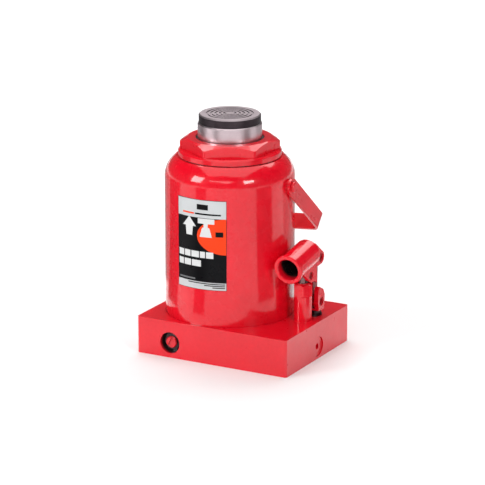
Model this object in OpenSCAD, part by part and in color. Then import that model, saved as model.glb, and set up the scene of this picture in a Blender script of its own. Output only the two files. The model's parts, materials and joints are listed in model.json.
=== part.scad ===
// Hydraulic bottle jack: welded base and reservoir, pressure cylinder with ram, hand pump with a
// handle socket on a swinging link, release valve, check valves and a folding strap handle.
// Millimetres. +Z is up, the origin is on the ram's axis at the floor, the operator's side is -Y and
// the hand pump is on the +X side. The jack is drawn fully lowered with the pump's socket fully down.

/* [Base] */
// Length of the base block along X
base_len = 200; // [190:1:215]
// Width of the base block along Y
base_wid = 160; // [157:1:175]
// Height of the base block
base_ht = 45; // [44:1:48]
// Distance from the left end of the base to the ram's axis
ram_from_left = 82; // [80:1:90]

/* [Reservoir tank] */
// Outer radius of the tank
tank_r = 77; // [75:0.5:78]
// Wall thickness of the tank
tank_wall = 4; // [3:0.5:5]
// Height above the floor of the tank's flat top land
tank_top_z = 235; // [225:1:236]
// Radius of the tank's rounded shoulder
shoulder_r = 30; // [20:1:32]

/* [Ram and saddle] */
// Radius of the ram
ram_r = 38; // [35:0.5:39]
// Inner radius of the pressure cylinder
cyl_bore_r = 42; // [41:0.5:44]
// Outer radius of the pressure cylinder
cyl_r = 56; // [54:0.5:57]
// Lowered height of the jack
closed_ht = 285; // [278:1:292]
// Radius of the saddle
saddle_r = 36.75; // [34:0.05:38]
// Thickness of the saddle's disc
saddle_t = 10.5; // [8:0.1:14]

/* [Top nut] */
// Radius of the nut's round flange
flange_r = 61.2; // [60:0.1:63]
// Radius across the nut's corners, before they are turned down
hex_r = 59.8; // [58:0.1:61]
// Height above the floor of the nut's top face
nut_top_z = 257; // [255:1:260]
// Turn of the nut about the ram's axis, in degrees
nut_turn = 28; // [0:1:59]

/* [Hand pump] */
// Distance from the ram's axis to the pump's axis
pump_x = 97; // [95:0.5:99]
// Place of the pump along Y
pump_y = 2; // [0:0.5:4]
// Height of the pump cylinder's top
pump_top_z = 90; // [88:1:91]
// Height of the pin that joins the plunger and the socket
plunger_pin_z = 100.5; // [99:0.1:102]
// Tilt of the socket's bore when the socket is fully down, in degrees
socket_tilt = 10; // [5:1:12]
// Radius of the socket's bore, for a 25 mm handle
socket_bore_r = 13; // [12.8:0.1:13.2]
// Radius of the pins of the pump's linkage
link_pin_r = 4.5; // [4:0.1:4.6]
// Radius of the pin that joins the plunger and the socket
plunger_pin_r = 4; // [3:0.1:4.2]

/* [Carrying handle] */
// Height of the handle's pivots
bail_z = 204.5; // [200:0.5:208]
// Place of the handle's pivots along Y
bail_y = 4; // [0:0.5:6]
// Width of the handle's strap
strap_w = 20; // [16:1:22]
// Thickness of the handle's strap
strap_t = 3; // [2.5:0.1:3.2]
// Angle between the resting handle and straight down, in degrees
bail_rest = 50.5; // [50:0.5:60]

/* [Release valve] */
// Place of the release valve along X
valve_x = -37.5; // [-40:0.5:-30]
// Height of the release valve's axis
valve_z = 18.3; // [16:0.1:22]

/* [Hidden] */
$fn = 96;

fit = 0.05;                       // radial clearance of a running or threaded fit
gap = 0.4;                        // side clearance between parts that move past each other
through = 1;                      // how far a cutting shape runs past the face that it cuts
red = [0.86, 0.06, 0.09];
steel = [0.72, 0.72, 0.74];
dark_steel = [0.27, 0.26, 0.28];
brass = [0.8, 0.63, 0.3];
copper = [0.78, 0.45, 0.3];
rubber = [0.08, 0.08, 0.09];

base_x0 = -ram_from_left;         // left end of the base
base_x1 = base_len - ram_from_left;
edge_break = 2;                   // chamfer on the base's upright corners

// Pressure cylinder and piston, from the floor of the oil chamber upwards
chamber_z = 26;                   // floor of the oil chamber under the piston
seal_t = 1.5;                     // thickness of the ring under the pressure cylinder
cyl_top_z = tank_top_z + 1;
piston_z0 = chamber_z + 2;        // lowest point of the piston's spigot
spigot_r = 25;
retainer_z = 29;
piston_seal_z = 36;
backup_z = 46;
piston_z = 49;
piston_top_z = 70;
ram_top_z = closed_ht - saddle_t;
saddle_spigot_r = 14;
saddle_spigot_l = 16;
annulus_r = 64.5;                 // middle of the oil space between cylinder and tank

// Tank foot, let into a groove in the base
foot_groove_d = 3;
gasket_t = 1.5;
foot_z = base_ht - foot_groove_d + gasket_t;
tank_hole_r = 58;                 // opening in the tank's top land

// Top nut
flange_t = 7;
hex_z = tank_top_z + 1 + flange_t;
corner_r = 59;                    // radius that the nut's corners are turned to
chamfer_r = 50;                   // where the chamfer starts on the nut's top face
chamfer_drop = 5.4;
thread_r = 54;                    // thread between nut and cylinder
skirt_z = 214;                    // lower end of the nut's threaded skirt
pocket_r = 43;                    // pockets for the bush and the seals
wiper_r = 40.6;
bush_z = 237;
bush_top_z = 246;
rod_seal_z = 246.5;
rod_seal_top_z = 250.5;
wiper_z = 252;
wiper_top_z = 255.6;

// Pump: chamber, cylinder and valves
pump_seat_z = 22.6;               // shoulder that carries the pump's washer
pump_foot_z = 24;
pump_thread_r = 9;
pump_body_r = 10.7;
pump_hex_r = pump_body_r / cos(30);
pump_hex_z = 76;
plunger_r = 6;
plunger_z = 31;
packing_r = 8;
packing_z = 80;
inlet_seat_z = 20;
inlet_seat_r = 3;
inlet_ball_r = 3.95;
passage_z = 14.5;                 // height of the suction passage and of its plug

// Pump linkage. P joins plunger and socket, U joins socket and link, F joins link and bracket.
pin_u = [25.4, 16];               // Y and Z of U, from P
pin_f = [24.5, 62.5];             // Y from the pump's axis, and Z from the floor, of F
pivot_u = [pump_y + pin_u[0], plunger_pin_z + pin_u[1]];
pivot_f = [pump_y + pin_f[0], pin_f[1]];
slot_half = 6.4;                  // half the width of the slots for plunger and link
tongue_half = slot_half - gap;    // half the thickness of plunger eye and link
cheek_half = 10.7;                // half the width over the socket's cheeks
ear_half = 12;                    // half the width over the bracket's ears
recess_d = 2;                     // recess for the retaining ring at each end of a pin
ear_recess_d = 2.5;
clip_t = 1;
link_upper_r = 8.2;
link_lower_r = 7.6;
loose_eye_r = 6.4;                // the link's upper eye, opened out for the pin's side travel
barrel_r = 16.2;
mouth_r = 18;
mouth_at = [-39.6, 15.5];         // Y and Z of the mouth's centre, from P
barrel_l = 51.5;                  // straight length of the barrel
barrel_end_l = 54;                // length to the end of its rounded back
bore_depth = 45;
link_shank = [3.5, 5.5];          // half thickness and half width of the link's shank
bridge_z = 52;                    // underside of the bracket's bridge
bridge_t = 2.3;

// Carrying handle
boss_face_x = 78.6;
boss_depth = 7.6;
boss_r = 9;
screw_r = 4;
arm_x = 79;                       // inner face of the handle's arms
shoulder_screw_r = 4.5;
bend_r = 10;                      // outer radius of the strap's corner bends
bend_s = 89.5;                    // distance from the pivots to the centres of the corner bends
bow = 14;                         // slope of the bowed crossbar at its ends, in degrees

// Release valve, along Y from the base's front face
front_y = -base_wid / 2;
valve_recess_r = 13;
valve_recess_d = 12;
stem_end_y = front_y + 2.6;
stem_end_r = 7;
stem_r = 5;
gland_y = front_y + 6.2;
gland_flat = 19;
gland_thread_r = 9;
gland_end_y = front_y + 20;
valve_seat_y = front_y + 33;
valve_ball_r = 3.5;

// Side passage plug
plug_r = 11.95;
plug_x0 = 107.5;

// Outlet valve, in the floor of the oil chamber
outlet_x = 26;
outlet_y = -22;
outlet_seat_z = 15;
outlet_bore_r = 4.5;
outlet_ball_r = 3.5;
outlet_ball_z = outlet_seat_z + 2.95;
// Relief valve, under the oil space on the far side
relief_x = -annulus_r;
relief_seat_z = 18;
relief_ball_r = 3;
relief_ball_z = relief_seat_z + 2.65;
relief_bore_r = 3.6;
relief_screw_z = 37;

// ---------- helpers ----------

// A cylinder along X, centred on the plane of the pump
module pump_cross(y, z, r, half) {
    translate([pump_x - half, y, z]) rotate([0, 90, 0]) cylinder(r = r, h = 2 * half);
}

// A flat ring standing on z
module ring(r_in, r_out, z, t) {
    translate([0, 0, z]) difference() {
        cylinder(r = r_out, h = t);
        translate([0, 0, -through]) cylinder(r = r_in, h = t + 2 * through);
    }
}

// The recesses for the retaining rings of a cross pin at y, z, in faces half away from the plane
module pin_recesses(y, z, r, half, depth) {
    for (side = [-1, 1])
        translate([pump_x + side * (half - depth / 2 + through / 2), y, z]) rotate([0, 90, 0])
            cylinder(r = r + 1.1, h = depth + through, center = true);
}

// The two retaining rings of a cross pin, split at the top
module pin_clips(y, z, r, half, depth) {
    for (side = [-1, 1])
        translate([pump_x + side * (half - depth + clip_t / 2 + 0.1), y, z]) rotate([0, 90, 0])
            difference() {
                cylinder(r = r + 1.05, h = clip_t, center = true);
                cylinder(r = r - 0.7, h = 2 * clip_t, center = true);
                translate([-r - 3, -1.1, -2]) cube([r + 3, 2.2, 4]);
            }
}

// Points of an arc, as a list
function arc(cx, cy, r, a0, a1, n) =
    [for (i = [0 : n]) let (a = a0 + (a1 - a0) * i / n) [cx + r * cos(a), cy + r * sin(a)]];

// A coil spring standing on z = 0: wire sections swept along a helix, as one closed polyhedron
module coil_spring(r, wire_r, turns, ht, sides = 8, steps = 18) {
    n = turns * steps;
    pts = [for (i = [0 : n]) let (a = 360 * i / steps, z = wire_r + (ht - 2 * wire_r) * i / n)
        for (k = [0 : sides - 1]) let (b = 360 * k / sides, rr = r + wire_r * cos(b))
            [rr * cos(a), rr * sin(a), z + wire_r * sin(b)]];
    walls = [for (i = [0 : n - 1], k = [0 : sides - 1]) let (m = (k + 1) % sides)
        [i * sides + k, (i + 1) * sides + k, (i + 1) * sides + m, i * sides + m]];
    caps = [[for (k = [0 : sides - 1]) k], [for (k = [sides - 1 : -1 : 0]) n * sides + k]];
    polyhedron(points = pts, faces = concat(walls, caps));
}

// ---------- base and its valves ----------

module base_outline() {
    e = edge_break;
    w = base_wid / 2;
    polygon([[base_x0 + e, -w], [base_x1 - e, -w], [base_x1, -w + e], [base_x1, w - e],
        [base_x1 - e, w], [base_x0 + e, w], [base_x0, w - e], [base_x0, -w + e]]);
}

// A bore along +Y from the front face's side, between two places on Y
module valve_bore(r, y0, y1) {
    translate([valve_x, y0, valve_z]) rotate([-90, 0, 0]) cylinder(r = r, h = y1 - y0);
}

// A straight oil drilling from one point to another
module drilling(r, from, to) {
    d = to - from;
    length = norm(d);
    translate(from) rotate([0, acos(d[2] / length), atan2(d[1], d[0])])
        cylinder(r = r, h = length, $fn = 32);
}

module base_block() {
    valve_mid_y = front_y + 28;
    release_x = valve_x + 2;
    color(red) difference() {
        linear_extrude(base_ht) base_outline();
        // seat of the pressure cylinder, and the groove of the tank's foot
        translate([0, 0, chamber_z]) cylinder(r = cyl_r + fit, h = base_ht);
        translate([0, 0, base_ht - foot_groove_d]) difference() {
            cylinder(r = tank_r + 0.4, h = base_ht);
            translate([0, 0, -through]) cylinder(r = tank_r - tank_wall - 0.6, h = base_ht + 9);
        }
        // pump seat, chamber and inlet seat
        translate([pump_x, pump_y, pump_seat_z]) cylinder(r = pump_thread_r + fit, h = base_ht);
        translate([pump_x, pump_y, inlet_seat_z]) cylinder(r = plunger_r, h = base_ht);
        translate([pump_x, pump_y, passage_z]) cylinder(r = inlet_seat_r, h = base_ht);
        bracket_hole();
        // suction passage from the oil space, and the plug at its outer end
        drilling(inlet_seat_r, [annulus_r, pump_y, passage_z], [base_x1 - 10, pump_y, passage_z]);
        drilling(inlet_seat_r, [annulus_r, pump_y, passage_z], [annulus_r, pump_y, base_ht + 1]);
        translate([plug_x0, pump_y, passage_z]) rotate([0, 90, 0])
            cylinder(r = plug_r + fit, h = 20);
        // outlet passage and valve, up into the oil chamber
        drilling(1.8, [pump_x - 4, pump_y - 1, 21.5], [outlet_x, outlet_y, 10.5]);
        translate([outlet_x, outlet_y, 9]) cylinder(r = 2, h = 20);
        translate([outlet_x, outlet_y, outlet_seat_z]) cylinder(r = outlet_bore_r, h = 20);
        // relief valve, between the oil chamber and the oil space
        drilling(1.5, [relief_x, 0, 13], [-30, 0, 13]);
        drilling(1.5, [-30, 0, 13], [-30, 0, chamber_z + 1]);
        translate([relief_x, 0, 12]) cylinder(r = 1.5, h = 20);
        translate([relief_x, 0, relief_seat_z]) cylinder(r = relief_bore_r, h = 20);
        translate([relief_x, 0, relief_screw_z]) cylinder(r = 5 + fit, h = 20);
        // release valve: recess, gland thread, stem bore, ball chamber and seat
        valve_bore(valve_recess_r, front_y - through, front_y + valve_recess_d);
        valve_bore(gland_thread_r + fit, front_y, gland_end_y);
        valve_bore(stem_r + fit, front_y, valve_mid_y);
        valve_bore(4, front_y, valve_seat_y);
        valve_bore(2, front_y, -14);
        // release passages to the oil chamber and back to the oil space
        drilling(2, [valve_x, -16, valve_z], [release_x, -13, chamber_z + 1]);
        drilling(2, [valve_x, valve_mid_y, valve_z], [valve_x, valve_mid_y, base_ht + 1]);
    }
}

module side_passage_plug() {
    length = 9;
    c = 0.8;
    color(red) translate([plug_x0 + 0.1, pump_y, passage_z]) rotate([0, 90, 0]) difference() {
        rotate_extrude() polygon([[0, 0], [plug_r, 0], [plug_r, length - c],
            [plug_r - c, length], [0, length]]);
        translate([0, 0, length - 0.5]) cylinder(r = 8.5, h = 5);
        translate([0, 0, length - 4.5]) cylinder(r = 4, h = 10, $fn = 6);
    }
}

module suction_strainer() {
    color(brass) translate([annulus_r, pump_y, base_ht]) difference() {
        union() {
            cylinder(r = 6, h = 8);
            translate([0, 0, -6]) cylinder(r = inlet_seat_r - fit, h = 7);
        }
        translate([0, 0, -7]) cylinder(r = 1.8, h = 10);
        translate([0, 0, 1.5]) cylinder(r = 5, h = 5.5);
        for (a = [0 : 45 : 315]) rotate([0, 0, a])
            translate([3, -0.9, 2.2]) cube([5, 1.8, 4]);
    }
}

module inlet_check_ball() {
    color(steel) translate([pump_x, pump_y, inlet_seat_z + 2.75]) sphere(r = inlet_ball_r);
}

module outlet_check_ball() {
    color(steel) translate([outlet_x, outlet_y, outlet_ball_z]) sphere(r = outlet_ball_r);
}

module outlet_check_spring() {
    color(steel) translate([outlet_x, outlet_y, outlet_ball_z + 2.9])
        coil_spring(2.7, 0.35, 3, 3.4);
}

module outlet_spring_retainer() {
    color(steel) translate([outlet_x, outlet_y, 0])
        ring(1.6, outlet_bore_r - fit, outlet_ball_z + 6.4, chamber_z - outlet_ball_z - 6.5);
}

module relief_ball() {
    color(steel) translate([relief_x, 0, relief_ball_z]) sphere(r = relief_ball_r);
}

module relief_spring() {
    color(steel) translate([relief_x, 0, relief_ball_z + 2.6])
        coil_spring(2.4, 0.55, 6, relief_screw_z - relief_ball_z - 2.7);
}

module relief_adjusting_screw() {
    color(dark_steel) translate([relief_x, 0, relief_screw_z]) difference() {
        cylinder(r = 5, h = base_ht - relief_screw_z - 0.5);
        translate([0, 0, 3]) cylinder(r = 2.9, h = 10, $fn = 6);
    }
}

// ---------- release valve ----------

// A turned shape along +Y on the valve's axis: profile points are [radius, distance from the face]
module valve_turned(profile) {
    translate([valve_x, front_y, valve_z]) rotate([-90, 0, 0]) rotate_extrude()
        polygon(profile);
}

module release_gland_nut() {
    head = gland_y - front_y;
    color(dark_steel) difference() {
        union() {
            translate([valve_x, gland_y, valve_z]) rotate([-90, 0, 0])
                cylinder(r = gland_flat / sqrt(3), h = valve_recess_d - head - 0.1, $fn = 6);
            valve_bore(gland_thread_r, front_y + valve_recess_d - 1, gland_end_y - 0.3);
        }
        valve_bore(stem_r + fit, front_y, valve_seat_y);
    }
}

module release_valve_stem() {
    tip = valve_seat_y - front_y - 6.6;
    end = stem_end_y - front_y;
    neck = gland_y - front_y - 0.3;
    slot_w = 4.4;
    slot_depth = 1.8;
    color(red) difference() {
        valve_turned([[0, end], [stem_end_r - 0.8, end], [stem_end_r, end + 0.8],
            [stem_end_r, neck], [stem_r, neck], [stem_r, 21.5], [3.7, 21.5], [3.7, 24.5],
            [stem_r, 24.5], [stem_r, 26], [2.6, tip], [0, tip]]);
        translate([valve_x, stem_end_y, valve_z]) rotate([0, 30, 0])
            cube([slot_w, 2 * slot_depth, 3 * stem_end_r], center = true);
    }
}

module release_valve_o_ring() {
    color(rubber) valve_turned(concat([[3.75, 21.7], [4.6, 21.6]],
        arc(4.3, 23, 0.7, -60, 60, 8), [[4.6, 24.4], [3.75, 24.3]]));
}

module release_valve_ball() {
    color(steel) translate([valve_x, valve_seat_y - 2.95, valve_z]) sphere(r = valve_ball_r);
}

// ---------- pressure cylinder, tank and top nut ----------

module cylinder_base_seal() {
    color(copper) ring(cyl_bore_r + 1, cyl_r - 0.5, chamber_z, seal_t);
}

module pressure_cylinder() {
    z0 = chamber_z + seal_t;
    color(steel) difference() {
        union() {
            translate([0, 0, z0]) cylinder(r = cyl_r, h = skirt_z - 2 - z0);
            translate([0, 0, z0]) cylinder(r = thread_r, h = cyl_top_z - z0);
        }
        translate([0, 0, z0 - through]) cylinder(r = cyl_bore_r, h = closed_ht);
        // port that spills the oil when the ram reaches the top of its stroke
        translate([0, 0, 198]) rotate([0, 90, 0]) cylinder(r = 1.5, h = cyl_r + 5);
    }
}

module reservoir_tank() {
    inner = tank_r - tank_wall;
    arc_z = tank_top_z - 25;          // where the shoulder starts
    end_a = asin(25 / shoulder_r);    // the shoulder stops short of flat, at the top land
    color(red) difference() {
        rotate_extrude() difference() {
            polygon(concat([[inner, foot_z], [tank_r, foot_z]],
                arc(tank_r - shoulder_r, arc_z, shoulder_r, 0, end_a, 24),
                [[tank_hole_r, tank_top_z], [tank_hole_r, tank_top_z - tank_wall]],
                arc(tank_r - shoulder_r, arc_z, shoulder_r - tank_wall, end_a - 4, 0, 20)));
        }
        // holes for the handle's bosses and the oil filler
        translate([-90, bail_y, bail_z]) rotate([0, 90, 0]) cylinder(r = boss_r + fit, h = 180);
        translate([0, 60, 190]) rotate([-90, 0, 0]) cylinder(r = 7 + fit, h = 30);
    }
}

module tank_bottom_gasket() {
    color(rubber) ring(tank_r - tank_wall, tank_r - 0.2, base_ht - foot_groove_d, gasket_t);
}

module tank_top_gasket() {
    color(rubber) ring(tank_hole_r + 0.3, flange_r - 1, tank_top_z, 1);
}

module top_nut() {
    color(red) difference() {
        union() {
            // hexagon with turned corners and a chamfered top
            intersection() {
                translate([0, 0, hex_z - 0.5]) rotate([0, 0, nut_turn])
                    cylinder(r = hex_r, h = nut_top_z - hex_z + 0.5, $fn = 6);
                rotate_extrude() polygon([[0, hex_z - 1], [corner_r, hex_z - 1],
                    [corner_r, nut_top_z - chamfer_drop], [chamfer_r, nut_top_z],
                    [0, nut_top_z]]);
            }
            // flange that clamps the tank, and the threaded skirt
            rotate_extrude() polygon([[0, skirt_z], [tank_hole_r - 0.5, skirt_z],
                [tank_hole_r - 0.5, tank_top_z + 1], [flange_r, tank_top_z + 1],
                [flange_r, hex_z - 1.6], [flange_r - 1.6, hex_z], [0, hex_z]]);
        }
        translate([0, 0, skirt_z - 1]) cylinder(r = thread_r + fit, h = cyl_top_z - skirt_z + 1);
        translate([0, 0, skirt_z]) cylinder(r = ram_r + 0.4, h = closed_ht);
        translate([0, 0, cyl_top_z - 1]) cylinder(r = pocket_r, h = bush_top_z - cyl_top_z + 1);
        translate([0, 0, rod_seal_z]) cylinder(r = pocket_r, h = rod_seal_top_z - rod_seal_z);
        translate([0, 0, wiper_z]) cylinder(r = wiper_r, h = 20);
    }
}

module guide_bush() {
    color(brass) ring(ram_r + fit, pocket_r - fit, bush_z - 0.9, bush_top_z - bush_z + 0.8);
}

module rod_seal() {
    h = rod_seal_top_z - rod_seal_z - 0.2;
    color(rubber) translate([0, 0, rod_seal_z + 0.1]) rotate_extrude()
        polygon([[ram_r + 0.3, 0], [ram_r + 1.4, 0], [ram_r + 2, 1.4], [ram_r + 2.6, 0],
            [pocket_r - 0.1, 0], [pocket_r - 0.1, h], [ram_r + 0.3, h]]);
}

module ram_wiper() {
    h = wiper_top_z - wiper_z;
    color(rubber) translate([0, 0, wiper_z]) rotate_extrude()
        polygon([[ram_r + 0.8, 0], [wiper_r - 0.1, 0], [wiper_r - 0.1, h - 0.6],
            [ram_r + 2.2, h - 0.6], [ram_r + 0.9, h], [ram_r + 0.3, h], [ram_r + 0.3, h - 1]]);
}

module oil_filler_plug() {
    color(rubber) translate([0, 0, 190]) rotate([-90, 0, 0]) rotate_extrude()
        polygon([[0, 70], [6, 70], [7, 71.5], [7, tank_r + 0.3], [10, tank_r + 0.3],
            [10, tank_r + 2.6], [8.6, tank_r + 4], [0, tank_r + 4]]);
}

module label() {
    sweep = 48;
    color([0.1, 0.1, 0.1]) rotate([0, 0, -90 + 1.8 - sweep / 2]) rotate_extrude(angle = sweep)
        translate([tank_r + fit, 90]) square([0.3, 108.5]);
}

// ---------- ram and piston ----------

module ram() {
    c = 1;
    color(steel) difference() {
        union() {
            rotate_extrude() polygon([[0, piston_top_z], [ram_r, piston_top_z],
                [ram_r, ram_top_z - c], [ram_r - c, ram_top_z], [0, ram_top_z]]);
            translate([0, 0, piston_z0]) cylinder(r = spigot_r, h = piston_top_z - piston_z0 + 1);
        }
        translate([0, 0, ram_top_z - saddle_spigot_l - 1])
            cylinder(r = saddle_spigot_r + fit, h = saddle_spigot_l + 5);
    }
}

module saddle() {
    groove_w = 2;
    groove_d = 1.2;
    c = 1.4;
    color(dark_steel) difference() {
        union() {
            rotate_extrude() polygon([[0, ram_top_z], [saddle_r - 0.6, ram_top_z],
                [saddle_r, ram_top_z + 0.6], [saddle_r, closed_ht - c], [saddle_r - c, closed_ht],
                [0, closed_ht]]);
            translate([0, 0, ram_top_z - saddle_spigot_l])
                cylinder(r = saddle_spigot_r, h = saddle_spigot_l + 1);
        }
        for (r = [7 : 5 : 27]) ring(r - groove_w / 2, r + groove_w / 2, closed_ht - groove_d, 5);
    }
}

module piston_head() {
    color(steel) difference() {
        ring(spigot_r + fit, cyl_bore_r - 0.08, piston_z, piston_top_z - piston_z);
        ring(cyl_bore_r - 2.5, cyl_bore_r + 5, 56, 8);
    }
}

module piston_wear_ring() {
    color(brass) ring(cyl_bore_r - 2.45, cyl_bore_r - fit, 56.1, 7.8);
}

module piston_backup_ring() {
    color([0.9, 0.88, 0.8]) ring(spigot_r + fit, cyl_bore_r - 0.4, backup_z, piston_z - backup_z);
}

module piston_seal() {
    h = backup_z - piston_seal_z;
    r0 = spigot_r + 0.3;
    r1 = cyl_bore_r - 0.3;
    mid = (r0 + r1) / 2;
    color(rubber) translate([0, 0, piston_seal_z]) rotate_extrude()
        polygon([[r0, 0], [mid - 4, 0], [mid, 6], [mid + 4, 0], [r1, 0], [r1, h], [r0, h]]);
}

module piston_retaining_nut() {
    color(dark_steel) difference() {
        ring(spigot_r + fit, 36, retainer_z, piston_seal_z - retainer_z);
        for (a = [0 : 90 : 270]) rotate([0, 0, a])
            translate([31, -3, retainer_z - 1]) cube([8, 6, 4]);
    }
}

// ---------- hand pump and its linkage ----------

module pump_cylinder() {
    color(red) translate([pump_x, pump_y, 0]) difference() {
        union() {
            translate([0, 0, pump_foot_z]) cylinder(r = pump_thread_r, h = 30);
            translate([0, 0, base_ht]) cylinder(r = pump_body_r, h = pump_hex_z - base_ht);
            intersection() {
                translate([0, 0, pump_hex_z - 1]) rotate([0, 0, -2])
                    cylinder(r = pump_hex_r, h = pump_top_z - pump_hex_z + 1, $fn = 6);
                rotate_extrude() polygon([[0, pump_hex_z - 1], [pump_body_r, pump_hex_z - 1],
                    [pump_hex_r - 0.2, pump_hex_z + 0.4], [pump_hex_r - 0.2, pump_top_z - 1.3],
                    [pump_body_r - 0.4, pump_top_z], [0, pump_top_z]]);
            }
        }
        translate([0, 0, pump_foot_z - 1]) cylinder(r = plunger_r + fit, h = 100);
        translate([0, 0, packing_z]) cylinder(r = packing_r + fit, h = 20);
    }
}

module pump_base_washer() {
    color(copper) translate([pump_x, pump_y, 0])
        ring(plunger_r + 0.3, pump_thread_r - 0.1, pump_seat_z, pump_foot_z - pump_seat_z);
}

module plunger_packing() {
    color(rubber) translate([pump_x, pump_y, 0])
        ring(plunger_r + 0.35, packing_r, packing_z + 0.2, 4.6);
}

module pump_gland() {
    color(red) translate([pump_x, pump_y, 0])
        ring(plunger_r + fit + 0.01, packing_r, packing_z + 5, 5.8);
}

module pump_plunger() {
    color(steel) difference() {
        union() {
            translate([pump_x, pump_y, plunger_z])
                cylinder(r = plunger_r, h = plunger_pin_z - plunger_z);
            intersection() {
                translate([pump_x, pump_y, plunger_pin_z - 1]) cylinder(r = plunger_r, h = 10);
                pump_cross(pump_y, plunger_pin_z, plunger_r, 2 * plunger_r);
            }
        }
        pump_cross(pump_y, plunger_pin_z, plunger_pin_r + fit + 0.01, 20);
    }
}

// Moves to P, the plunger pin, in the pump's plane. The socket is drawn from there.
module at_p() {
    translate([pump_x, pump_y, plunger_pin_z]) children();
}

// A plate cut from an outline in the YZ plane, between two distances from the pump's plane
module yz_plate(x0, x1) {
    translate([x0, 0, 0]) rotate([90, 0, 90]) linear_extrude(x1 - x0) children();
}

module cheek_outline() {
    ear_r = 8;
    translate(pin_u) circle(r = ear_r);
    polygon([[-19.6, 5.9], [-11, 0], [-6, -4.9], [1, -9], [9.5, -9], [15, -12.5],
        [15, 7.2], [pin_u[0] + 0.4, pin_u[1] - ear_r], [pin_u[0] + ear_r, pin_u[1]],
        [27.3, 24.3], [11.5, 36.5], [-19.6, 22.7]]);
}

module slot_outline() {
    eye_gap_r = link_upper_r + 2;
    circle(r = plunger_r + 0.6);
    translate([-20, -40]) square([80, 40]);
    translate([0, -1]) square([60, 6]);
    translate(pin_u) circle(r = eye_gap_r);
    translate([pin_u[0] - eye_gap_r, -1]) square([50, 1 + pin_u[1]]);
}

module on_barrel() {
    at_p() translate([0, mouth_at[0], mouth_at[1]]) rotate([socket_tilt - 90, 0, 0]) children();
}

module handle_socket() {
    back_r = barrel_end_l - barrel_l;
    color(red) difference() {
        union() {
            // barrel with a thicker mouth and a rounded back
            on_barrel() rotate_extrude() polygon(concat([[0, 0], [mouth_r - 1.2, 0],
                [mouth_r, 1.2], [mouth_r, 4.4], [barrel_r, 6.2]],
                arc(barrel_r - back_r, barrel_l, back_r, 0, 90, 16), [[0, barrel_end_l]]));
            at_p() yz_plate(-cheek_half, cheek_half) cheek_outline();
        }
        // handle bore with a small lead-in
        on_barrel() rotate_extrude() polygon([[0, -1], [socket_bore_r + 2, -1],
            [socket_bore_r, 1], [socket_bore_r, bore_depth], [0, bore_depth]]);
        // slot for plunger and link
        at_p() yz_plate(-slot_half, slot_half) slot_outline();
        pump_cross(pump_y, plunger_pin_z, plunger_pin_r + fit, 30);
        pump_cross(pivot_u[0], pivot_u[1], link_pin_r + fit, 30);
        pin_recesses(pump_y, plunger_pin_z, plunger_pin_r, cheek_half, recess_d);
        pin_recesses(pivot_u[0], pivot_u[1], link_pin_r, cheek_half, recess_d);
    }
}

module plunger_pin() {
    color(dark_steel) pump_cross(pump_y, plunger_pin_z, plunger_pin_r, cheek_half - recess_d);
}

module upper_link_pin() {
    color(dark_steel) pump_cross(pivot_u[0], pivot_u[1], link_pin_r, cheek_half - recess_d);
}

module socket_pin_circlips() {
    color(dark_steel) {
        pin_clips(pump_y, plunger_pin_z, plunger_pin_r, cheek_half, recess_d);
        pin_clips(pivot_u[0], pivot_u[1], link_pin_r, cheek_half, recess_d);
    }
}

module fulcrum_link() {
    color(dark_steel) difference() {
        union() {
            pump_cross(pivot_f[0], pivot_f[1], link_lower_r, tongue_half);
            pump_cross(pivot_u[0], pivot_u[1], link_upper_r, tongue_half);
            translate([pump_x, 0, 0]) yz_plate(-link_shank[0], link_shank[0])
                polygon([for (end = [[pivot_f, -1], [pivot_f, 1], [pivot_u, 1], [pivot_u, -1]])
                    end[0] + [end[1] * link_shank[1], 0]]);
        }
        pump_cross(pivot_f[0], pivot_f[1], link_pin_r + fit + 0.01, 20);
        pump_cross(pivot_u[0], pivot_u[1], loose_eye_r, 20);
    }
}

module bracket_outline() {
    ear_r = 8.5;
    translate(pivot_f) {
        circle(r = ear_r);
        polygon([[-ear_r, 0], [-ear_r + 1.5, -7], [ear_r - 1.5, -7], [ear_r, 0], [ear_r, 7],
            [4.8, 14], [-4.4, 19], [-ear_r + 0.6, 15.5]]);
    }
}

module fulcrum_bracket() {
    half_w = 7;
    bridge_top_z = bridge_z + bridge_t;
    color(red) difference() {
        union() {
            translate([pump_x, 0, 0]) yz_plate(-ear_half, ear_half) bracket_outline();
            translate([pump_x - ear_half, pivot_f[0] - half_w, bridge_z])
                cube([2 * ear_half, 2 * half_w, 8]);
            translate([pump_x, pivot_f[0], base_ht - 18])
                cylinder(r = 6, h = bridge_z - base_ht + 19);
        }
        // slot for the link
        translate([pump_x - slot_half, pivot_f[0] - 20, bridge_top_z])
            cube([2 * slot_half, 40, 40]);
        pump_cross(pivot_f[0], pivot_f[1], link_pin_r + fit, 20);
        pin_recesses(pivot_f[0], pivot_f[1], link_pin_r, ear_half, ear_recess_d);
    }
}

module bracket_hole() {
    translate([pump_x, pivot_f[0], base_ht - 19]) cylinder(r = 6 + fit, h = 30);
}

module bracket_washer() {
    color(steel) translate([pump_x, pivot_f[0], 0]) ring(6 + fit, 11.5, base_ht, 1.5);
}

module bracket_nut() {
    flat = 19;
    color(steel) translate([pump_x, pivot_f[0], base_ht + 1.5]) difference() {
        intersection() {
            rotate([0, 0, 12]) cylinder(r = flat / sqrt(3), h = 5, $fn = 6);
            rotate_extrude() polygon([[0, 0], [10.8, 0], [10.8, 4.2], [9.4, 5], [0, 5]]);
        }
        translate([0, 0, -1]) cylinder(r = 6 + fit, h = 9);
    }
}

module lower_link_pin() {
    color(dark_steel) pump_cross(pivot_f[0], pivot_f[1], link_pin_r, ear_half - ear_recess_d);
}

module bracket_pin_circlips() {
    color(dark_steel) pin_clips(pivot_f[0], pivot_f[1], link_pin_r, ear_half, ear_recess_d);
}

// ---------- carrying handle ----------

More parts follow.
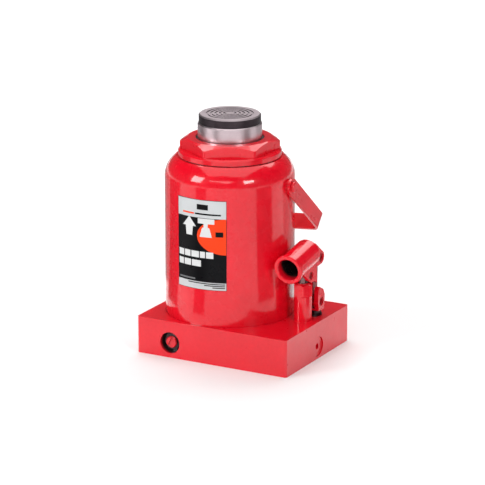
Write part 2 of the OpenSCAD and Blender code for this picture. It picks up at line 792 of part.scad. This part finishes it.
module carry_handle_bosses() {
    color(red) for (side = [-1, 1])
        translate([side * (boss_face_x - boss_depth / 2), bail_y, bail_z]) rotate([0, 90, 0])
            difference() {
                cylinder(r = boss_r, h = boss_depth, center = true);
                cylinder(r = screw_r + fit, h = 2 * boss_depth, center = true);
            }
}

module carry_handle_screws() {
    head_x = arm_x + strap_t + 0.3;
    head_r = 6.6;
    dome = 1.6;
    color(red) for (side = [0, 1]) mirror([side, 0, 0]) translate([0, bail_y, bail_z])
        rotate([0, 90, 0]) rotate_extrude()
            polygon(concat([[0, 70], [screw_r - 0.6, 70], [screw_r, 70.6], [screw_r, boss_face_x],
                [shoulder_screw_r, boss_face_x], [shoulder_screw_r, head_x], [head_r, head_x]],
                arc(head_r - dome, head_x + 1.6, dome, 0, 90, 8), [[0, head_x + 1.6 + dome]]));
}

// One side's outline of the strap at a depth below its outer face. The first coordinate is X and
// the second is the distance from the pivots.
bend_x = arm_x + strap_t - bend_r;
bow_r = bend_r + bend_x / sin(bow);
bow_s = bend_s - (bow_r - bend_r) * cos(bow);
function strap_side(depth) = concat([[arm_x + strap_t - depth, -strap_w / 2]],
    arc(bend_x, bend_s, bend_r - depth, 0, 90 - bow, 16),
    arc(0, bow_s, bow_r - depth, 90 - bow, 90, 12));
function mirrored(side) = [for (i = [len(side) - 2 : -1 : 0]) [-side[i][0], side[i][1]]];
function both_sides(side) = concat(side, mirrored(side));
function reversed(list) = [for (i = [len(list) - 1 : -1 : 0]) list[i]];

module carry_handle() {
    color(red) translate([0, bail_y, bail_z]) rotate([bail_rest - 90, 0, 0]) difference() {
        translate([0, 0, -strap_w / 2]) linear_extrude(strap_w)
            polygon(concat(both_sides(strap_side(0)), reversed(both_sides(strap_side(strap_t)))));
        // rounded ends of the arms
        difference() {
            translate([-100, -strap_w, -strap_w]) cube([200, strap_w, 2 * strap_w]);
            translate([-101, 0, 0]) rotate([0, 90, 0]) cylinder(r = strap_w / 2, h = 202);
        }
        translate([-100, 0, 0]) rotate([0, 90, 0]) cylinder(r = shoulder_screw_r + 0.08, h = 200);
    }
}

base_block();
pressure_cylinder();
cylinder_base_seal();
reservoir_tank();
tank_bottom_gasket();
tank_top_gasket();
top_nut();
guide_bush();
rod_seal();
ram_wiper();
oil_filler_plug();
label();
carry_handle_bosses();
carry_handle_screws();
pump_cylinder();
pump_base_washer();
plunger_packing();
pump_gland();
fulcrum_bracket();
bracket_washer();
bracket_nut();
lower_link_pin();
bracket_pin_circlips();
side_passage_plug();
suction_strainer();
inlet_check_ball();
outlet_check_ball();
outlet_check_spring();
outlet_spring_retainer();
relief_ball();
relief_spring();
relief_adjusting_screw();
release_gland_nut();
release_valve_o_ring();
release_valve_stem();
release_valve_ball();
ram();
saddle();
piston_head();
piston_wear_ring();
piston_backup_ring();
piston_seal();
piston_retaining_nut();
pump_plunger();
handle_socket();
plunger_pin();
upper_link_pin();
socket_pin_circlips();
fulcrum_link();
carry_handle();
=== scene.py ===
"""The looks of a hydraulic bottle jack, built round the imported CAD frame. Metres, +Z up."""
import math

import bpy
from mathutils import Matrix, Vector
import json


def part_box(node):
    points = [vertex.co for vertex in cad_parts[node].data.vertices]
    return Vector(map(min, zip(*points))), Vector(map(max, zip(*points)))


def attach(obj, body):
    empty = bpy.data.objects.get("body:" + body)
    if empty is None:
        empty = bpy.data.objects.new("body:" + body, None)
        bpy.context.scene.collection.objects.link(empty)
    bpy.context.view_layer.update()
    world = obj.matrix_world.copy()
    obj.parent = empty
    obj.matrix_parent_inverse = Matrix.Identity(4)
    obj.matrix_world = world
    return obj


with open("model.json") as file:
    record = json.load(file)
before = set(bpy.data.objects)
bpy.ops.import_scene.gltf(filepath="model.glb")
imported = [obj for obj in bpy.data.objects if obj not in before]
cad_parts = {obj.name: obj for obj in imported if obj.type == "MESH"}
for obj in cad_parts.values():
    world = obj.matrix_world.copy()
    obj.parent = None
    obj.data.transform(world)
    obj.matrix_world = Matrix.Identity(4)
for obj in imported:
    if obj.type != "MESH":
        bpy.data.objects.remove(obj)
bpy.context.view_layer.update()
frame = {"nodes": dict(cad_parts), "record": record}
scene = bpy.context.scene
MM = 0.001

# ---------- where things are, from the frame ----------

tank_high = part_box("reservoir_tank")[1]
label_low, label_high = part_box("label")
base_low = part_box("base_block")[0]
TANK_R = tank_high[0]
LABEL_R = TANK_R + 0.35 * MM
LABEL_Z0 = label_low[2]
LABEL_HEIGHT = label_high[2] - label_low[2]
LABEL_SWEEP = math.radians(48)
LABEL_START = math.radians(-90 + 1.8) - LABEL_SWEEP / 2
LABEL_FILM = 0.06 * MM


# ---------- material building blocks ----------

def new_material(name, **values):
    """A material with its Principled shader, whose sockets are set by name."""
    mat = bpy.data.materials.new(name)
    mat.use_nodes = True
    shader = mat.node_tree.nodes["Principled BSDF"]
    for key, value in values.items():
        shader.inputs[key.replace("_", " ")].default_value = value
    return mat, shader


def add_node(mat, kind, **settings):
    """A new node; settings whose name isn't one of its properties set an input socket."""
    made = mat.node_tree.nodes.new("ShaderNode" + kind)
    for key, value in settings.items():
        if hasattr(made, key):
            setattr(made, key, value)
        else:
            made.inputs[key.replace("_", " ")].default_value = value
    return made


def wire(mat, source, target):
    mat.node_tree.links.new(source, target)


def object_point(mat):
    return add_node(mat, "TexCoord").outputs["Object"]


def noise(mat, point, scale, detail=3.0, roughness=0.55):
    made = add_node(mat, "TexNoise", Scale=scale, Detail=detail, Roughness=roughness)
    wire(mat, point, made.inputs["Vector"])
    return made.outputs["Fac"]


def spread(mat, value, low, high, start=0.3, end=0.7):
    """Maps a noise value from start..end to low..high."""
    made = add_node(mat, "MapRange")
    made.inputs["From Min"].default_value = start
    made.inputs["From Max"].default_value = end
    made.inputs["To Min"].default_value = low
    made.inputs["To Max"].default_value = high
    wire(mat, value, made.inputs["Value"])
    return made.outputs["Result"]


def mixed(mat, amount, first, second):
    """A colour between two colours, either of which may be a socket."""
    made = add_node(mat, "Mix", data_type="RGBA")
    for socket, value in ((made.inputs[6], first), (made.inputs[7], second)):
        if isinstance(value, bpy.types.NodeSocket):
            wire(mat, value, socket)
        else:
            socket.default_value = (*value, 1.0)
    wire(mat, amount, made.inputs[0])
    return made.outputs[2]


def bumps(mat, shader, *layers):
    """Chains bump layers, each a height socket and its depth in metres."""
    last = None
    for height, depth in layers:
        made = add_node(mat, "Bump", Strength=1.0, Distance=depth)
        wire(mat, height, made.inputs["Height"])
        if last is not None:
            wire(mat, last, made.inputs["Normal"])
        last = made.outputs["Normal"]
    wire(mat, last, shader.inputs["Normal"])


def lathe_point(mat):
    """A point made of distance from the Z axis and height, for marks that a lathe leaves."""
    split = add_node(mat, "SeparateXYZ")
    wire(mat, object_point(mat), split.inputs[0])
    square = [add_node(mat, "Math", operation="MULTIPLY") for _ in range(2)]
    for axis in range(2):
        wire(mat, split.outputs[axis], square[axis].inputs[0])
        wire(mat, split.outputs[axis], square[axis].inputs[1])
    total = add_node(mat, "Math", operation="ADD")
    for axis in range(2):
        wire(mat, square[axis].outputs[0], total.inputs[axis])
    radius = add_node(mat, "Math", operation="SQRT")
    wire(mat, total.outputs[0], radius.inputs[0])
    joined = add_node(mat, "CombineXYZ")
    wire(mat, radius.outputs[0], joined.inputs[0])
    wire(mat, split.outputs[2], joined.inputs[2])
    return joined.outputs[0]


def inside_bore(mat, point, mouth, inward, radius, depth, bottom):
    """1 on the wall of a bore, between two depths below its mouth, and 0 elsewhere."""
    offset = add_node(mat, "VectorMath", operation="SUBTRACT")
    wire(mat, point, offset.inputs[0])
    offset.inputs[1].default_value = mouth
    along = add_node(mat, "VectorMath", operation="DOT_PRODUCT")
    wire(mat, offset.outputs[0], along.inputs[0])
    along.inputs[1].default_value = inward
    run = add_node(mat, "VectorMath", operation="SCALE")
    run.inputs[0].default_value = inward
    wire(mat, along.outputs["Value"], run.inputs["Scale"])
    side = add_node(mat, "VectorMath", operation="SUBTRACT")
    wire(mat, offset.outputs[0], side.inputs[0])
    wire(mat, run.outputs[0], side.inputs[1])
    away = add_node(mat, "VectorMath", operation="LENGTH")
    wire(mat, side.outputs[0], away.inputs[0])
    near = spread(mat, away.outputs["Value"], 1.0, 0.0, radius + 0.25 * MM, radius + 0.45 * MM)
    deep = spread(mat, along.outputs["Value"], 0.0, 1.0, depth, depth + 5 * MM)
    above = spread(mat, along.outputs["Value"], 1.0, 0.0, bottom, bottom + 0.1 * MM)
    mask = near
    for limit in (deep, above):
        both = add_node(mat, "Math", operation="MULTIPLY")
        wire(mat, mask, both.inputs[0])
        wire(mat, limit, both.inputs[1])
        mask = both.outputs[0]
    return mask


# ---------- materials ----------

# near black for the walls deep inside bores: partly grease, partly painted shade where light
# doesn't reach
GREASE_AND_BORE_SHADE = (0.022, 0.016, 0.016)


def enamel(name, colour, deep, casting=0.0, gloss=0.3, bore=None):
    """Sprayed gloss enamel: orange peel, slow colour drift and, on a casting, a sandy skin. The
    paint ends a little way into a bore, given by the arguments of inside_bore from mouth on; past
    that the wall turns near black, partly grease and partly painted shade."""
    mat, shader = new_material(name, Coat_Weight=0.9, Coat_Roughness=0.05, Specular_IOR_Level=0.18)
    point = object_point(mat)
    drift = spread(mat, noise(mat, point, 14), 0.0, 1.0)
    thin = spread(mat, noise(mat, point, 260, 4), 0.0, 0.22)
    base = mixed(mat, drift, colour, deep)
    dust_and_bore_shade = mixed(mat, thin, base, tuple(min(1.0, part * 1.15 + 0.01) for part in colour))
    if bore:
        # deep in a bore the colour turns near black: grease and painted shade
        dust_and_bore_shade = mixed(mat, inside_bore(mat, point, *bore), dust_and_bore_shade, GREASE_AND_BORE_SHADE)
    wire(mat, dust_and_bore_shade, shader.inputs["Base Color"])
    rough = spread(mat, noise(mat, point, 60, 5), gloss - 0.06, gloss + 0.08)
    wire(mat, rough, shader.inputs["Roughness"])
    layers = [(noise(mat, point, 420, 2), 0.016 * MM), (noise(mat, point, 28, 2), 0.1 * MM)]
    if casting:
        layers.append((noise(mat, point, 900, 6, 0.7), casting * MM))
    bumps(mat, shader, *layers)
    return mat


def turned_steel(name, colour, roughness, depth, stain=0.0, top_worn_and_lit_colour=None):
    """Steel with the fine rings of a lathe about the jack's own axis. Faces that look up may have
    a lighter colour of their own, partly worn bare steel and partly painted light from above."""
    mat, shader = new_material(name, Metallic=1.0)
    rings = noise(mat, lathe_point(mat), 2600, 3, 0.7)
    wide_rings = noise(mat, lathe_point(mat), 420, 2)
    point = object_point(mat)
    cloud = spread(mat, noise(mat, point, 32, 4), 0.0, 1.0)
    darker = tuple(part * (0.72 - stain) for part in colour)
    base = mixed(mat, cloud, colour, darker)
    base = mixed(mat, spread(mat, wide_rings, 0.0, 0.35), base, darker)
    # faces that look up turn lighter: worn steel on the top and painted light from above
    if top_worn_and_lit_colour:
        upward = add_node(mat, "SeparateXYZ")
        wire(mat, add_node(mat, "NewGeometry").outputs["True Normal"], upward.inputs[0])
        worn_and_top_lit = mixed(mat, cloud, top_worn_and_lit_colour, tuple(part * 0.8 for part in top_worn_and_lit_colour))
        base = mixed(mat, spread(mat, upward.outputs[2], 0.0, 1.0, 0.4, 0.9), base, worn_and_top_lit)
    wire(mat, base, shader.inputs["Base Color"])
    wire(mat, spread(mat, rings, roughness - 0.07, roughness + 0.1), shader.inputs["Roughness"])
    bumps(mat, shader, (rings, depth * MM))
    return mat


def plain_metal(name, colour, roughness, grain=700.0, depth=0.01, wear=0.3):
    """Small metal parts: fine grain, blotches and a few darker spots of oil."""
    mat, shader = new_material(name, Metallic=1.0)
    point = object_point(mat)
    fine = noise(mat, point, grain, 4, 0.65)
    blotch = spread(mat, noise(mat, point, 85, 4), 0.0, wear)
    wire(mat, mixed(mat, blotch, colour, tuple(part * 0.45 for part in colour)),
         shader.inputs["Base Color"])
    wire(mat, spread(mat, fine, roughness - 0.06, roughness + 0.12), shader.inputs["Roughness"])
    bumps(mat, shader, (fine, depth * MM))
    return mat


def rubber(name, colour, roughness=0.6):
    mat, shader = new_material(name, Metallic=0.0)
    point = object_point(mat)
    fine = noise(mat, point, 1400, 4, 0.7)
    bloom = spread(mat, noise(mat, point, 55, 4), 0.0, 0.5)
    wire(mat, mixed(mat, bloom, colour, tuple(part * 1.9 for part in colour)),
         shader.inputs["Base Color"])
    wire(mat, spread(mat, fine, roughness - 0.1, roughness + 0.1), shader.inputs["Roughness"])
    bumps(mat, shader, (fine, 0.02 * MM))
    return mat


def print_ink(name, colour, roughness=0.33, metallic=0.0):
    """Printed film: a light screen grain under a clear layer."""
    mat, shader = new_material(name, Metallic=metallic, Specular_IOR_Level=0.1)
    point = object_point(mat)
    grain = spread(mat, noise(mat, point, 1100, 3), 0.0, 0.18)
    wire(mat, mixed(mat, grain, colour, tuple(part * 0.8 for part in colour)),
         shader.inputs["Base Color"])
    wire(mat, spread(mat, noise(mat, point, 90, 3), roughness - 0.05, roughness + 0.07),
         shader.inputs["Roughness"])
    bumps(mat, shader, (noise(mat, point, 120, 2), 0.02 * MM))
    return mat


RED = (0.82, 0.003, 0.018)
DEEP_RED = (0.71, 0.0025, 0.014)
PALE = (0.72, 0.73, 0.73)
BLACK = (0.004, 0.004, 0.005)

valve_low, valve_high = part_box("release_gland_nut")
VALVE_MOUTH = ((valve_low[0] + valve_high[0]) / 2, base_low[1], (valve_low[2] + valve_high[2]) / 2)
VALVE_INWARD = (0.0, 1.0, 0.0)
RECESS_R = 13 * MM
VALVE_HOLE_DEPTH = 40 * MM
BARE_FROM = 0.2 * MM              # from just behind the base's front face the recess turns near black: bare steel and painted shade
socket_mount = next(row for row in frame["record"]["mounts"] if row["name"] == "handle_socket")
SOCKET_INWARD = tuple(-part for part in socket_mount["axis"])
MOUNT_TO_MOUTH = 20 * MM
SOCKET_MOUTH = tuple(Vector(socket_mount["pos_m"]) - MOUNT_TO_MOUTH * Vector(SOCKET_INWARD))
SOCKET_BORE_R = socket_mount["dims"]["r_mm"] * MM
SOCKET_BORE_DEPTH = 45.4 * MM
OVERSPRAY = 7 * MM                # how far the paint reaches into the socket; deeper, the bore is near black, grease and painted shade

# one look for each material slot, and a darker red look for the link alone, partly oily paint and
# partly painted shade for its place between pump and bracket
LOOKS = {
    "base_paint": enamel("base_enamel", RED, DEEP_RED, casting=0.018, gloss=0.33,
                         bore=(VALVE_MOUTH, VALVE_INWARD, RECESS_R, BARE_FROM, VALVE_HOLE_DEPTH)),
    "tank_paint": enamel("tank_enamel", RED, DEEP_RED, gloss=0.26),
    "nut_paint": enamel("nut_enamel", RED, DEEP_RED, casting=0.012, gloss=0.3),
    "handle_paint": enamel("handle_enamel", RED, DEEP_RED, gloss=0.3),
    "pump_paint": enamel("pump_enamel", RED, DEEP_RED, casting=0.010, gloss=0.28),
    "valve_paint": enamel("valve_enamel", RED, (0.5, 0.004, 0.012), gloss=0.3),
    "socket_paint": enamel("socket_enamel", RED, DEEP_RED, casting=0.012, gloss=0.28,
                           bore=(SOCKET_MOUTH, SOCKET_INWARD, SOCKET_BORE_R, OVERSPRAY,
                                 SOCKET_BORE_DEPTH)),
    "pin_paint": enamel("pin_enamel", (0.42, 0.004, 0.010), (0.2, 0.003, 0.006), gloss=0.36),
    "machined_steel": plain_metal("machined_steel", (0.6, 0.6, 0.61), 0.3),
    "ball_steel": plain_metal("ball_steel", (0.78, 0.78, 0.8), 0.1, wear=0.1),
    "spring_steel": plain_metal("spring_steel", (0.42, 0.42, 0.44), 0.28),
    "dark_steel": plain_metal("dark_steel", (0.075, 0.062, 0.064), 0.32, depth=0.02, wear=0.6),
    "plunger_steel": plain_metal("plunger_steel", (0.24, 0.14, 0.14), 0.22),
    # the ram's and saddle's pink tint is a painted colour cast of the light and of the red paint
    # around them
    "ram_steel": turned_steel("ram_steel", (0.78, 0.65, 0.69), 0.33, 0.004),
    # the saddle's lighter top colour is partly worn steel and partly painted light from above
    "saddle_steel": turned_steel("saddle_steel", (0.085, 0.066, 0.076), 0.42, 0.012, stain=0.2,
                                 top_worn_and_lit_colour=(0.62, 0.53, 0.56)),
    "bronze": plain_metal("bronze", (0.62, 0.41, 0.17), 0.3),
    "copper": plain_metal("copper", (0.72, 0.34, 0.2), 0.34),
    "black_rubber": rubber("black_rubber", (0.014, 0.014, 0.015)),
    # the link's dark red is partly oily paint, partly painted shade for the gap it sits in
    "link_paint_and_shade": enamel("link_enamel_and_shade", (0.34, 0.004, 0.009), (0.12, 0.003, 0.005), gloss=0.3),
    "white_plastic": rubber("white_plastic", (0.5, 0.48, 0.42), 0.45),
    "label_film": print_ink("label_black", BLACK, 0.3),
}

INKS = {
    "silver": print_ink("label_silver", (0.62, 0.64, 0.65), 0.36, metallic=0.15),
    "pale": print_ink("label_pale", PALE, 0.38),
    "orange": print_ink("label_orange", (0.93, 0.06, 0.012), 0.36),
    "black": print_ink("label_ink", BLACK, 0.36),
    "grey": print_ink("label_grey", (0.16, 0.165, 0.17), 0.4),
}


# ---------- the CAD nodes' looks ----------

BEVELS = {
    "base_block": 1.3, "top_nut": 0.7, "handle_socket": 0.55, "fulcrum_bracket": 0.7,
    "fulcrum_link": 0.5, "carry_handle": 0.5, "pump_cylinder": 0.35, "bracket_nut": 0.3,
    "bracket_washer": 0.25, "saddle": 0.3, "side_passage_plug": 0.3, "release_gland_nut": 0.3,
    "release_valve_stem": 0.3, "plunger_pin": 0.35, "upper_link_pin": 0.35,
    "lower_link_pin": 0.35, "carry_handle_screws": 0.3,
}


def dress_nodes():
    slot_of = {row["node"]: row["material_slot"] for row in frame["record"]["subparts"]}
    for name, obj in frame["nodes"].items():
        # the link takes the darker red, partly painted shade
        look = LOOKS["link_paint_and_shade" if name == "fulcrum_link" else slot_of[name]]
        for slot in obj.material_slots:
            slot.material = look
        if not obj.material_slots:
            obj.data.materials.append(look)
        if name in BEVELS:
            bevel = obj.modifiers.new("edge", "BEVEL")
            bevel.width = BEVELS[name] * MM
            bevel.segments = 3
            bevel.limit_method = "ANGLE"
            bevel.angle_limit = math.radians(38)
            bevel.harden_normals = True
            bevel.use_clamp_overlap = True


# ---------- the label's print ----------

def curved_plate(name, left, right, top, bottom, ink, lift=0):
    """A thin printed shape on the label. left and right are fractions of the label's width, and
    top and bottom are functions from such a fraction to a fraction of its height, from the top."""
    columns = max(2, int(math.ceil((right - left) * 60)))
    inner = LABEL_R + lift * LABEL_FILM - 0.01 * MM
    outer = LABEL_R + (lift + 1) * LABEL_FILM
    points = []
    for column in range(columns + 1):
        across = left + (right - left) * column / columns
        angle = LABEL_START + LABEL_SWEEP * across
        for radius in (outer, inner):
            for down in (top(across), bottom(across)):
                points.append((radius * math.cos(angle), radius * math.sin(angle),
                               LABEL_Z0 + LABEL_HEIGHT * (1 - down)))
    faces = [(0, 1, 3, 2)]
    for column in range(columns):
        a = column * 4
        b = a + 4
        faces += [(a, b, b + 1, a + 1), (a + 2, a + 3, b + 3, b + 2),
                  (a, a + 2, b + 2, b), (a + 1, b + 1, b + 3, a + 3)]
    end = columns * 4
    faces.append((end, end + 2, end + 3, end + 1))
    mesh = bpy.data.meshes.new(name)
    mesh.from_pydata(points, [], faces)
    mesh.materials.append(INKS[ink])
    obj = bpy.data.objects.new(name, mesh)
    scene.collection.objects.link(obj)
    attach(obj, "jack")
    return obj


def straight(value):
    return lambda across: value


def bar(name, left, right, top, bottom, ink, lift=1):
    return curved_plate(name, left, right, straight(top), straight(bottom), ink, lift)


def arch(left, right, low, high):
    """An edge that rises from low at both sides to high in the middle, as half an ellipse."""
    middle = (left + right) / 2
    half = (right - left) / 2

    def edge(across):
        share = max(-1.0, min(1.0, (across - middle) / half))
        return low + (high - low) * math.sqrt(1 - share * share)
    return edge


def between(points):
    """An edge through a few corner points, with straight lines between them."""
    def edge(across):
        for (x0, y0), (x1, y1) in zip(points, points[1:]):
            if across <= x1:
                return y0 + (y1 - y0) * max(0.0, across - x0) / (x1 - x0)
        return points[-1][1]
    return edge


def print_label():
    margin = 0.006
    bar("label_top_band", margin, 1 - margin, 0.004, 0.2, "silver", 0)
    bar("label_bottom_band", margin, 1 - margin, 0.915, 0.996, "silver", 0)
    # a plain half ellipse against the right edge
    curved_plate("label_field", 0.44, 1 - margin, arch(0.44, 1.56, 0.4, 0.2),
                 arch(0.44, 1.56, 0.4, 0.6), "orange", 0)
    bar("label_block", 0.44, 0.66, 0.05, 0.11, "black")
    bar("label_line_orange", 0.13, 0.38, 0.148, 0.166, "orange")
    bar("label_line_black", 0.4, 0.9, 0.148, 0.166, "black")
    # pictogram: a lifting arrow beside a load held on a column
    curved_plate("label_arrow", 0.13, 0.42, between([(0.13, 0.3), (0.275, 0.195), (0.42, 0.3)]),
                 between([(0.13, 0.302), (0.208, 0.302), (0.209, 0.405), (0.341, 0.405),
                          (0.342, 0.302), (0.42, 0.302)]), "pale", 1)
    bar("label_load", 0.46, 0.78, 0.205, 0.262, "pale")
    bar("label_column", 0.575, 0.655, 0.262, 0.305, "pale")
    curved_plate("label_body", 0.5, 0.73, between([(0.5, 0.405), (0.545, 0.305), (0.685, 0.305),
                                                   (0.73, 0.405)]), straight(0.41), "pale", 1)
    bar("label_tag", 0.8, 0.94, 0.345, 0.4, "black")
    # blocks that stand for two lines of print
    for number, (left, right) in enumerate([(0.03, 0.15), (0.17, 0.3), (0.32, 0.48),
                                            (0.5, 0.6), (0.62, 0.76)]):
        bar("label_heading_%d" % number, left, right, 0.575, 0.645, "pale")
    for number, (left, right) in enumerate([(0.03, 0.14), (0.16, 0.31), (0.33, 0.52)]):
        bar("label_subheading_%d" % number, left, right, 0.675, 0.745, "pale")
    bar("label_small_line", 0.04, 0.4, 0.877, 0.895, "grey")
    for number, (left, top) in enumerate([(0.25, 0.925), (0.58, 0.945), (0.74, 0.965)]):
        bar("label_fine_line_%d" % number, left, 0.97, top, top + 0.011, "black")


# ---------- stage, lights and camera ----------

JACK_MIDDLE = Vector((0.0, 0.0, 0.14))
SOFTBOX_DISTANCE = 3.2
FLOOR_HALF = 30.0


def area_light(name, place, target, width, height, power):
    """A rectangular light that points at a target."""
    data = bpy.data.lights.new(name, "AREA")
    data.shape = "RECTANGLE"
    data.size = width
    data.size_y = height
    data.energy = power
    light = bpy.data.objects.new(name, data)
    light.location = place
    direction = Vector(target) - light.location
    light.rotation_euler = direction.to_track_quat("-Z", "Y").to_euler()
    scene.collection.objects.link(light)


def softbox(name, azimuth, elevation, width, height, power):
    """An area light aimed at the jack; azimuth is measured from -Y towards +X."""
    turn = math.radians(azimuth)
    rise = math.radians(elevation)
    outward = Vector((math.sin(turn) * math.cos(rise), -math.cos(turn) * math.cos(rise),
                      math.sin(rise)))
    area_light(name, JACK_MIDDLE + SOFTBOX_DISTANCE * outward, JACK_MIDDLE, width, height, power)


def floor_card(name, start, end, near, far, tone):
    """A grey sector on the floor round the jack, seen only in reflections."""
    paper, _ = new_material(name, Base_Color=(tone, tone, tone, 1), Roughness=0.9)
    steps = 12
    points = []
    for step in range(steps + 1):
        turn = math.radians(start + (end - start) * step / steps)
        for radius in (near, far):
            points.append((radius * math.sin(turn), -radius * math.cos(turn), 1 * MM))
    faces = [(2 * i, 2 * i + 1, 2 * i + 3, 2 * i + 2) for i in range(steps)]
    mesh = bpy.data.meshes.new(name)
    mesh.from_pydata(points, [], faces)
    mesh.materials.append(paper)
    card = bpy.data.objects.new(name, mesh)
    scene.collection.objects.link(card)
    card.visible_camera = False
    card.visible_diffuse = False
    card.visible_shadow = False
    card.visible_transmission = False


def build_stage():
    corners = [(x * FLOOR_HALF, y * FLOOR_HALF, 0) for x, y in ((-1, -1), (1, -1), (1, 1), (-1, 1))]
    mesh = bpy.data.meshes.new("floor")
    mesh.from_pydata(corners, [], [(0, 1, 2, 3)])
    mat, shader = new_material("floor_paper", Base_Color=(0.93, 0.93, 0.93, 1), Roughness=0.85,
                               Emission_Color=(1, 1, 1, 1))
    # far from the jack the paper is lit evenly, so it is white from every side
    away = add_node(mat, "VectorMath", operation="LENGTH")
    wire(mat, object_point(mat), away.inputs[0])
    wire(mat, spread(mat, away.outputs["Value"], 0.0, 0.6, 1.4, 3.5),
         shader.inputs["Emission Strength"])
    mesh.materials.append(mat)
    floor = bpy.data.objects.new("floor", mesh)
    scene.collection.objects.link(floor)
    world = bpy.data.worlds.new("studio")
    world.use_nodes = True
    backdrop = world.node_tree.nodes["Background"]
    # a bright horizon that fades to a dim sky overhead
    height = world.node_tree.nodes.new("ShaderNodeSeparateXYZ")
    place = world.node_tree.nodes.new("ShaderNodeTexCoord")
    fade = world.node_tree.nodes.new("ShaderNodeMapRange")
    fade.inputs["From Min"].default_value = 0.2
    fade.inputs["From Max"].default_value = 0.5
    fade.inputs["To Min"].default_value = 2.0
    fade.inputs["To Max"].default_value = 0.26
    world.node_tree.links.new(place.outputs["Generated"], height.inputs[0])
    world.node_tree.links.new(height.outputs[2], fade.inputs["Value"])
    world.node_tree.links.new(fade.outputs[0], backdrop.inputs["Strength"])
    scene.world = world
    softbox("key_right", 64, 25, 1.0, 0.6, 27)
    softbox("front_left", -34, 25, 1.1, 1.2, 46)
    softbox("top", 20, 84, 3.8, 3.8, 66)
    area_light("back_paper_light", (-0.7, 2.0, 2.6), (-0.9, 2.3, 0.0), 3.4, 2.6, 95)
    area_light("front_paper_light", (0.9, -4.6, 2.6), (1.0, -5.2, 0.0), 3.4, 2.6, 95)
    # cards on the floor that only reflections see: they give the glossy tank its stripes; each
    # has its first and last azimuth, its distance from the jack's axis and its tone
    for number, (start, end, near, tone) in enumerate((
            (-100, -66, 0.24, 0.02), (-31, -12, 0.25, 0.02), (74, 104, 0.3, 0.02),
            (-165, -101, 0.3, 0.25), (132, 190, 0.3, 0.35))):
        floor_card("floor_card_%d" % number, start, end, near, 2.2, tone)


def place_camera():
    data = bpy.data.cameras.new("camera")
    data.lens = 207.8
    data.sensor_width = 36.0
    data.clip_end = 100.0
    camera = bpy.data.objects.new("camera", data)
    backward = Vector((0.4586, -0.8429, 0.2815)).normalized()
    right = Vector((0.8784, 0.4779, 0.0)).normalized()
    up = backward.cross(right).normalized()
    turn = Matrix((right, up, backward)).transposed()
    camera.matrix_world = Matrix.Translation((1.5399, -2.7994, 1.0639)) @ turn.to_4x4()
    scene.collection.objects.link(camera)
    scene.camera = camera


dress_nodes()
print_label()
build_stage()
place_camera()
scene.view_settings.view_transform = "Standard"
scene.view_settings.look = "None"
